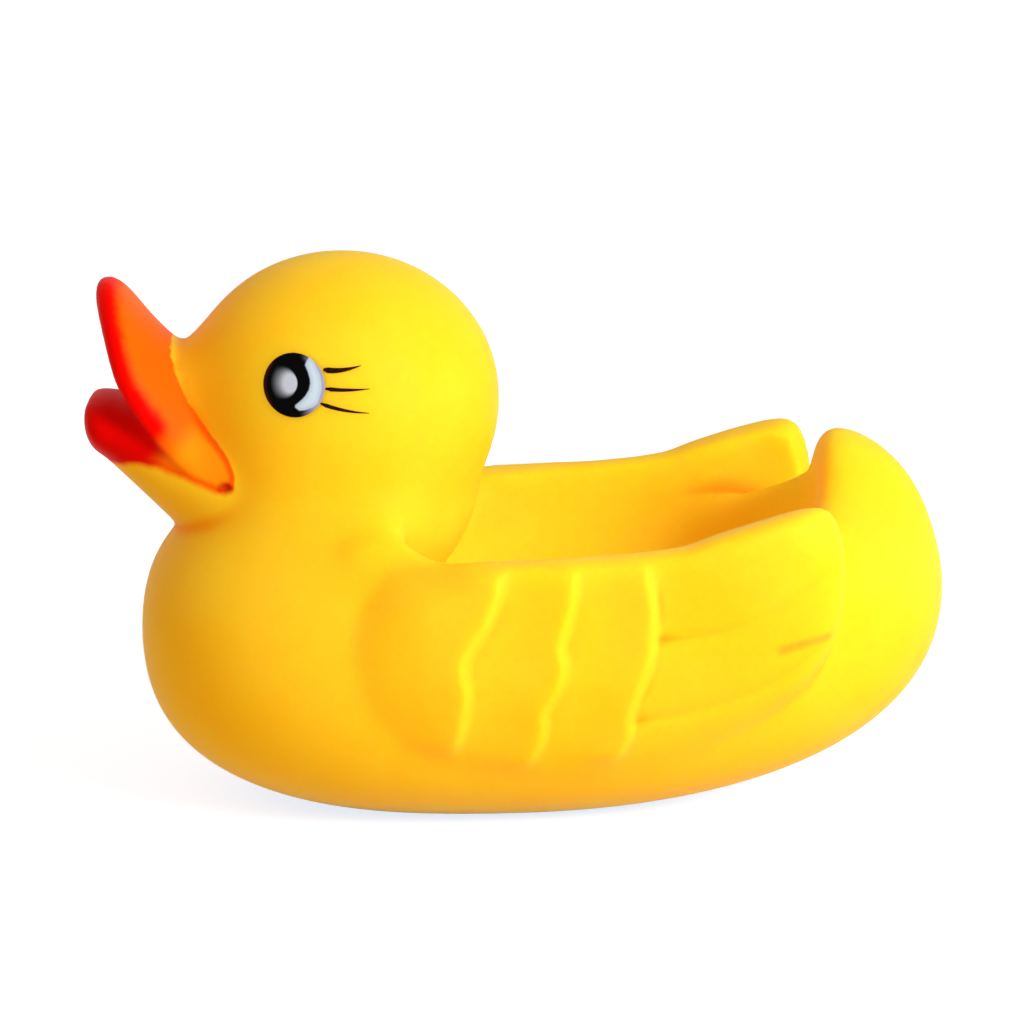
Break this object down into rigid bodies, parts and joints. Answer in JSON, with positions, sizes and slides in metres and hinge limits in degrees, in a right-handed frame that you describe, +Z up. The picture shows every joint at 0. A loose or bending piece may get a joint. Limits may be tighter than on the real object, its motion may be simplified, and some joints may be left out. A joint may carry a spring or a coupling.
{
  "type": "rubber duck",
  "caption": "Soft hollow bath duck with an open bill, relief feathers on its wings, a scooped-out back that carries small toys, and a whistle in its flat base.",
  "frame": {"origin": "on the ground, below the middle of the duck's overall box", "axes": "+Z up; the bill points to -X and the tail to +X; +Y is the duck's left-to-right direction, across its two wings"},
  "size_m": [0.13, 0.0822, 0.0836],
  "materials": {
    "yellow_vinyl": "satin",
    "white_polythene": "satin"
  },
  "bodies": {
    "root": {"duck_shell": "yellow_vinyl", "whistle_barrel": "white_polythene", "reed_block": "white_polythene", "reed": "white_polythene"}
  },
  "joints": []
}
